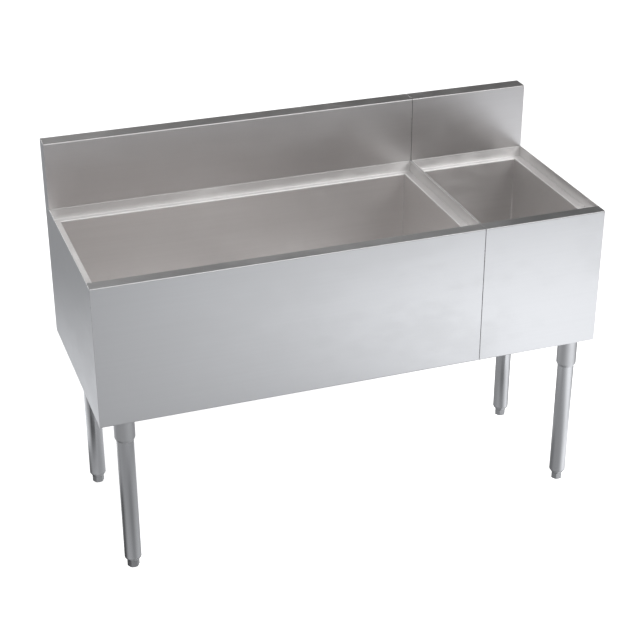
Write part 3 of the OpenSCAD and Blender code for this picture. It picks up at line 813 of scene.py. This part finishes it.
@dataclass
class LevellingFoot:
    """Hexagonal foot with a chamfered rim and a threaded stem, in place of the plain packed one."""

    node: str
    across_flats: float = 0.0254
    height: float = 0.0175
    fillet: float = 0.0008
    stem_r: float = 0.00635
    stem_top: float = 0.0748
    stem_chamfer: float = 0.0006
    pitch: float = 0.00195
    thread_depth: float = 0.0010
    steps: int = 72

    def build(self, finish: bpy.types.Material) -> bpy.types.Object:
        """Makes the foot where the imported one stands.

        Args:
            finish: Its material.

        Returns:
            The object.
        """
        turned = Turning(self.node + "_threaded", upright_axis(self.node), self.steps)
        flat = self.across_flats / 2.0
        corner = flat / math.cos(math.pi / 6.0)
        top = self.height
        # Height and largest radius: the rounded sole, the full hexagon, and the chamfer above.
        for z, limit in ((0.0, flat + 0.0004), (0.0003, flat + 0.0010), (0.0006, flat + 0.0015),
                         (0.0009, corner), (top - 0.0012, corner),
                         (top - 0.0008, corner - 0.0006), (top - 0.0004, flat + 0.0006),
                         (top, flat)):
            turned.ring(z, self._hexagon(flat, limit))
        root = self.stem_r - self.thread_depth
        turned.ring(top, self.stem_r + self.fillet)
        turned.ring(top + self.fillet, root)
        turned.screw(Thread(self.stem_r, self.thread_depth, self.pitch), top, self.stem_top)
        turned.ring(self.stem_top, root - self.stem_chamfer)
        return turned.close(False, finish)

    @staticmethod
    def _hexagon(flat: float, limit: float) -> Callable[[float], float]:
        """Outline of the hexagon, held within a limit.

        Args:
            flat: Its radius at the middle of a flat.
            limit: Largest radius.

        Returns:
            A function of the angle that gives the radius.
        """
        side = math.pi / 3.0

        def radius(angle: float) -> float:
            """Gives the radius at one angle."""
            bent = (angle + side / 2.0) % side - side / 2.0
            return min(limit, flat / math.cos(side / 2.0 - abs(bent)))
        return radius


@dataclass
class SocketWeld:
    """Rippled weld bead between a leg socket's collar and its plate."""

    node: str
    collar_r: float = 0.024
    plate_z: float = 0.427
    bead: float = 0.0026
    ripples: int = 44
    ripple_share: float = 0.09
    ripple_lag: float = 1.6
    waver_share: float = 0.03
    wavers: int = 3
    root_height: float = 0.0002
    root_depth: float = 0.0004
    sides: int = 10
    steps: int = 176
    sharp_deg: float = 60.0

    def build(self, finish: bpy.types.Material) -> bpy.types.Object:
        """Makes the bead.

        Args:
            finish: Its material.

        Returns:
            The object.
        """
        turned = Turning(self.node + "_weld", upright_axis(self.node), self.steps)
        for side in range(self.sides):
            lean = 0.5 * math.pi * side / (self.sides - 1)

            def radius(angle: float, lean: float = lean) -> float:
                """Gives the bead's radius at one angle."""
                phase = self.ripples * angle + self.ripple_lag * math.cos(2.0 * lean)
                ripple = 1.0 + self.ripple_share * math.sin(phase)
                waver = 1.0 - self.waver_share + self.waver_share * math.sin(self.wavers * angle)
                return self.collar_r + self.bead * math.cos(lean) * ripple * waver
            turned.ring(self.plate_z - self.bead * math.sin(lean), radius)
        turned.ring(self.plate_z - self.root_height, self.collar_r - self.root_depth)
        return turned.close(True, finish, self.sharp_deg)


@dataclass
class DrainBody:
    """Turned drain body with a threaded shank, in place of the plain packed one."""

    node: str
    flange_r: float = 0.032
    flange_low: float = 0.466
    flange_top: float = 0.469
    edge_width: float = 0.002
    edge_height: float = 0.001
    edge_parts: int = 4
    seat_z: float = 0.4675
    seat_r: float = 0.0232
    bore_r: float = 0.01595
    shank_r: float = 0.021
    shank_low: float = 0.4338
    shank_chamfer: float = 0.0004
    pitch: float = 0.0020
    thread_depth: float = 0.0011
    steps: int = 96

    def build(self, finish: bpy.types.Material) -> bpy.types.Object:
        """Makes the drain body.

        Args:
            finish: Its material.

        Returns:
            The object.
        """
        turned = Turning(self.node + "_threaded", upright_axis(self.node), self.steps)
        turned.ring(self.seat_z, self.bore_r)
        turned.ring(self.seat_z, self.seat_r)
        turned.ring(self.flange_top, self.seat_r)
        turned.ring(self.flange_top, self.flange_r - self.edge_width)
        for part in range(1, self.edge_parts + 1):
            lean = 0.5 * math.pi * part / self.edge_parts
            turned.ring(self.flange_top - self.edge_height * (1.0 - math.cos(lean)),
                        self.flange_r - self.edge_width * (1.0 - math.sin(lean)))
        root = self.shank_r - self.thread_depth
        turned.ring(self.flange_low, self.flange_r)
        turned.ring(self.flange_low, root)
        turned.screw(Thread(self.shank_r, self.thread_depth, self.pitch),
                     self.flange_low, self.shank_low)
        turned.ring(self.shank_low, root - self.shank_chamfer)
        turned.ring(self.shank_low, self.bore_r)
        return turned.close(True, finish)


@dataclass(frozen=True)
class Pool:
    """A soft pool of tone on the studio floor, or in a direction of its walls."""

    middle: Point
    reach: float
    level: float


@dataclass(frozen=True)
class Fan:
    """A soft wedge of tone on the studio floor, with its point under a leg."""

    leg: Spot
    azimuth_deg: float
    half_deg: float
    reach: float
    level: float


@dataclass(frozen=True)
class Lamp:
    """A softbox."""

    name: str
    place: Point
    aim: Point
    width: float
    height: float
    watts: float


@dataclass
class Studio:
    """Camera, floor, walls and softboxes."""

    effects: Effects
    camera_place: Point = (-1.1283, -3.1296, 2.2062)
    camera_turn_deg: Point = (62.34, 0.0, -19.68)
    lens_mm: float = 86.82
    sensor_mm: float = 36.0
    clip_end: float = 60.0
    floor_size: float = 24.0
    floor_drop: float = 0.0255
    floor_colour: Colour = (0.85, 0.85, 0.85)
    floor_lift: Colour = (0.74, 0.74, 0.74)
    floor_base: float = 0.33
    floor_tint: Colour = (0.975, 0.995, 1.03)
    wall_base: float = 0.02
    wall_horizon: float = 0.40
    horizon_range: tuple[float, float] = (0.30, 0.06)
    wall_fill: float = 0.42
    least_tone: float = 0.02

    # Painted light on the floor, seen only in the metal; negative levels are painted shadow near
    # the unit.
    FLOOR_POOLS = (
        Pool((0.75, -1.05, 0.0), 0.60, 0.30),
        Pool((0.20, -1.00, 0.0), 0.60, 0.13),
        Pool((-0.45, -1.00, 0.0), 0.60, 0.12),
        Pool((-0.70, 0.52, 0.0), 1.10, 0.44),
        Pool((1.50, -1.30, 0.0), 1.50, 0.87),
        Pool((0.30, -1.60, 0.0), 1.20, 0.40),
        Pool((-0.60, 0.90, 0.0), 0.80, 0.08),
        Pool((-0.75, 0.55, 0.0), 0.35, 0.15),
        Pool((-1.05, 0.10, 0.0), 0.40, -0.22),
        Pool((-0.50, 0.10, 0.0), 0.35, -0.20),
    )
    FRONT_LEFT = (-0.5446, -0.189)
    REAR_LEFT = (-0.5446, 0.193)
    FRONT_RIGHT = (0.5706, -0.189)
    REAR_RIGHT = (0.5706, 0.146)
    # Painted light fanning out from each leg, and painted shadow near the unit where the level is
    # negative; the legs show them as stripes.
    FLOOR_FANS = (
        Fan(FRONT_LEFT, -120.0, 65.0, 0.5, -0.40),
        Fan(FRONT_LEFT, 8.0, 45.0, 0.7, -0.09),
        Fan(FRONT_LEFT, 75.0, 60.0, 0.7, 0.10),
        Fan(REAR_LEFT, -140.0, 90.0, 0.3, -0.52),
        Fan(REAR_LEFT, -25.0, 40.0, 0.4, 0.06),
        Fan(REAR_LEFT, 75.0, 60.0, 0.5, 0.03),
        Fan(FRONT_RIGHT, 55.0, 68.0, 0.9, 0.55),
        Fan(FRONT_RIGHT, -125.0, 60.0, 0.35, -0.14),
        Fan(REAR_RIGHT, 55.0, 68.0, 0.6, 0.66),
        Fan(REAR_RIGHT, -60.0, 50.0, 0.3, 0.10),
    )
    WALL_POOLS = (
        Pool((0.34, -0.45, 0.84), 0.55, 2.30),
        Pool((0.30, -0.83, 0.46), 0.70, 0.62),
        Pool((-0.40, -0.80, 0.46), 0.70, 1.12),
        Pool((0.00, 0.60, 0.80), 0.40, 0.36),
        Pool((-0.25, 0.87, 0.43), 0.60, 0.60),
        Pool((0.55, 0.72, 0.42), 0.42, -0.18),
        Pool((-0.42, 0.84, 0.34), 0.42, 2.60),
    )
    LAMPS = (
        Lamp("key_softbox", (1.9, -2.0, 2.6), (0.1, 0.0, 0.6), 1.5, 1.5, 88.0),
        Lamp("fill_softbox", (-2.4, -1.4, 2.2), (0.0, 0.0, 0.6), 1.6, 1.6, 6.0),
        Lamp("top_softbox", (0.0, -0.2, 3.4), (0.0, 0.0, 0.7), 2.4, 1.6, 34.0),
    )

    def build(self) -> None:
        """Sets up everything round the unit."""
        self._camera()
        self._floor()
        self._walls()
        for lamp in self.LAMPS:
            self._lamp(lamp)
        bpy.context.scene.view_settings.view_transform = "Standard"
        LOG.info("studio: %d softboxes", len(self.LAMPS))

    def _camera(self) -> None:
        """Places the camera at the photograph's angle."""
        data = bpy.data.cameras.new("studio_camera")
        data.lens = self.lens_mm
        data.sensor_width = self.sensor_mm
        data.clip_end = self.clip_end
        camera = bpy.data.objects.new("studio_camera", data)
        camera.location = self.camera_place
        camera.rotation_euler = Euler([math.radians(part) for part in self.camera_turn_deg])
        bpy.context.collection.objects.link(camera)
        bpy.context.scene.camera = camera

    def _tone(self, bench: NodeBench, place: object, base: float,
              pools: tuple[Pool, ...]) -> bpy.types.NodeSocket:
        """Adds up pools of tone over a base.

        Args:
            bench: The tree.
            place: Vector socket to read them at.
            base: Tone away from every pool.
            pools: The pools.

        Returns:
            The tone as a socket.
        """
        total = base
        for pool in pools:
            spot = self.effects.place(bench, Effect.SOFT_POOL, Place=place, Middle=pool.middle,
                                      Reach=pool.reach, Level=pool.level)
            total = bench.math("ADD", spot.outputs["Tone"], total)
        return bench.math("MAXIMUM", total, self.least_tone)

    @staticmethod
    def _direct(bench: NodeBench, rays: bpy.types.Node) -> bpy.types.NodeSocket:
        """Tells rays that show the background as it is from those that light the unit.

        Args:
            bench: The tree.
            rays: Its Light Path node.

        Returns:
            1 for a ray from the camera or through a clear piece, otherwise 0.
        """
        return bench.math("MAXIMUM", rays.outputs["Is Camera Ray"],
                          rays.outputs["Is Transmission Ray"])

    def _floor(self) -> None:
        """Lays a pale floor, a foot's travel below the feet, so that it hides none screwed out."""
        half = self.floor_size / 2.0
        data = bpy.data.meshes.new("studio_floor")
        corners = [(-half, -half, 0.0), (half, -half, 0.0), (half, half, 0.0), (-half, half, 0.0)]
        data.from_pydata(corners, [], [(0, 1, 2, 3)])
        data.materials.append(self._floor_finish())
        floor = bpy.data.objects.new("studio_floor", data)
        floor.location.z = -self.floor_drop
        bpy.context.collection.objects.link(floor)

    def _floor_finish(self) -> bpy.types.Material:
        """Makes the floor's material: white to the camera but for the shadow, graded in the metal.

        Returns:
            The material, which is clear from below.
        """
        material = bpy.data.materials.new("studio_floor")
        material.use_nodes = True
        tree = material.node_tree
        tree.nodes.remove(tree.nodes["Principled BSDF"])
        bench = NodeBench(tree)
        rays = bench.add("LightPath")
        place = bench.add("TexCoord").outputs["Object"]
        matt = bench.add("BsdfDiffuse")
        matt.inputs["Color"].default_value = (*self.floor_colour, 1.0)
        lift = bench.add("Emission")
        lift.inputs["Color"].default_value = (*self.floor_lift, 1.0)
        seen = bench.add("AddShader")
        bench.feed(matt.outputs[0], seen.inputs[0])
        bench.feed(lift.outputs[0], seen.inputs[1])
        graded = bench.add("Emission")
        tone = self._floor_tone(bench, place)
        bench.feed(bench.vector("MULTIPLY", tone, self.floor_tint), graded.inputs["Color"])
        by_camera = bench.choose(self._direct(bench, rays), matt.outputs[0], seen.outputs[0])
        by_metal = bench.choose(rays.outputs["Is Glossy Ray"], by_camera, graded.outputs[0])
        from_below = bench.choose(bench.add("NewGeometry").outputs["Backfacing"], by_metal,
                                  bench.add("BsdfTransparent").outputs[0])
        bench.feed(from_below, tree.nodes["Material Output"].inputs["Surface"])
        return material

    def _floor_tone(self, bench: NodeBench, place: bpy.types.NodeSocket) -> bpy.types.NodeSocket:
        """Adds up the floor's pools and fans of painted light and painted shadow; the legs show the
        fans as stripes.

        Args:
            bench: The tree.
            place: Vector socket to read them at.

        Returns:
            The tone as a socket.
        """
        tone = self._tone(bench, place, self.floor_base, self.FLOOR_POOLS)
        for fan in self.FLOOR_FANS:
            turn = math.radians(fan.azimuth_deg)
            wedge = self.effects.place(
                bench, Effect.SOFT_FAN, Place=place, Middle=(*fan.leg, 0.0), Reach=fan.reach,
                Level=fan.level, Toward=(math.sin(turn), -math.cos(turn), 0.0),
                Half_Width=math.radians(fan.half_deg))
            tone = bench.math("ADD", tone, wedge.outputs["Tone"])
        return bench.math("MAXIMUM", tone, self.least_tone)

    def _walls(self) -> None:
        """Makes the world: white to the camera, plain for fill light, and graded in the metal."""
        world = bpy.data.worlds.new("studio_walls")
        bpy.context.scene.world = world
        world.use_nodes = True
        tree = world.node_tree
        bench = NodeBench(tree)
        rays = bench.add("LightPath")
        place = bench.add("TexCoord").outputs["Generated"]
        height = bench.vector("DOT_PRODUCT", place, UP)
        glow = bench.spread(height, *self.horizon_range, 0.0, self.wall_horizon, smooth=True)
        pools = self._tone(bench, place, self.wall_base, self.WALL_POOLS)
        tone = bench.math("ADD", pools, glow)
        fill = bench.tint(rays.outputs["Is Glossy Ray"], (self.wall_fill,) * 3, tone)
        seen = bench.tint(self._direct(bench, rays), fill, WHITE)
        bench.feed(seen, tree.nodes["Background"].inputs["Color"])

    @staticmethod
    def _lamp(lamp: Lamp) -> None:
        """Hangs a softbox that lights the unit but isn't seen in its metal.

        Args:
            lamp: Its sizes and place.
        """
        data = bpy.data.lights.new(lamp.name, "AREA")
        data.shape = "RECTANGLE"
        data.size = lamp.width
        data.size_y = lamp.height
        data.energy = lamp.watts
        box = bpy.data.objects.new(lamp.name, data)
        box.location = lamp.place
        way = Vector(lamp.aim) - Vector(lamp.place)
        box.rotation_euler = way.to_track_quat("-Z", "Y").to_euler()
        box.visible_glossy = False
        bpy.context.collection.objects.link(box)


@dataclass
class IceBin:
    """The whole unit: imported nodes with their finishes, and pieces that replace or join them."""

    book: FinishBook

    CORNERS = ("front_left", "front_right", "rear_left", "rear_right")
    BINS = ("ice", "side")

    def build(self) -> None:
        """Builds and dresses every piece."""
        self.book.build()
        self.book.dress()
        for corner in self.CORNERS:
            node = corner + "_foot"
            foot = LevellingFoot(node).build(self.book.made["foot_steel"])
            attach(foot, node)
            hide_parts(node)
            weld = SocketWeld(corner + "_leg_socket").build(self.book.made["socket_steel"])
            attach(weld, "cabinet")
            LOG.info("%s: foot and weld", corner)
        for name in self.BINS:
            node = name + "_drain_body"
            drain = DrainBody(node).build(self.book.made["drain_steel"])
            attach(drain, "cabinet")
            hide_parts(node)
            LOG.info("%s: threaded", node)


def main() -> None:
    logging.basicConfig(level=logging.INFO, format="%(name)s: %(message)s")
    effects = Effects()
    IceBin(FinishBook(effects)).build()
    Studio(effects).build()


if __name__ == "__main__":
    main()
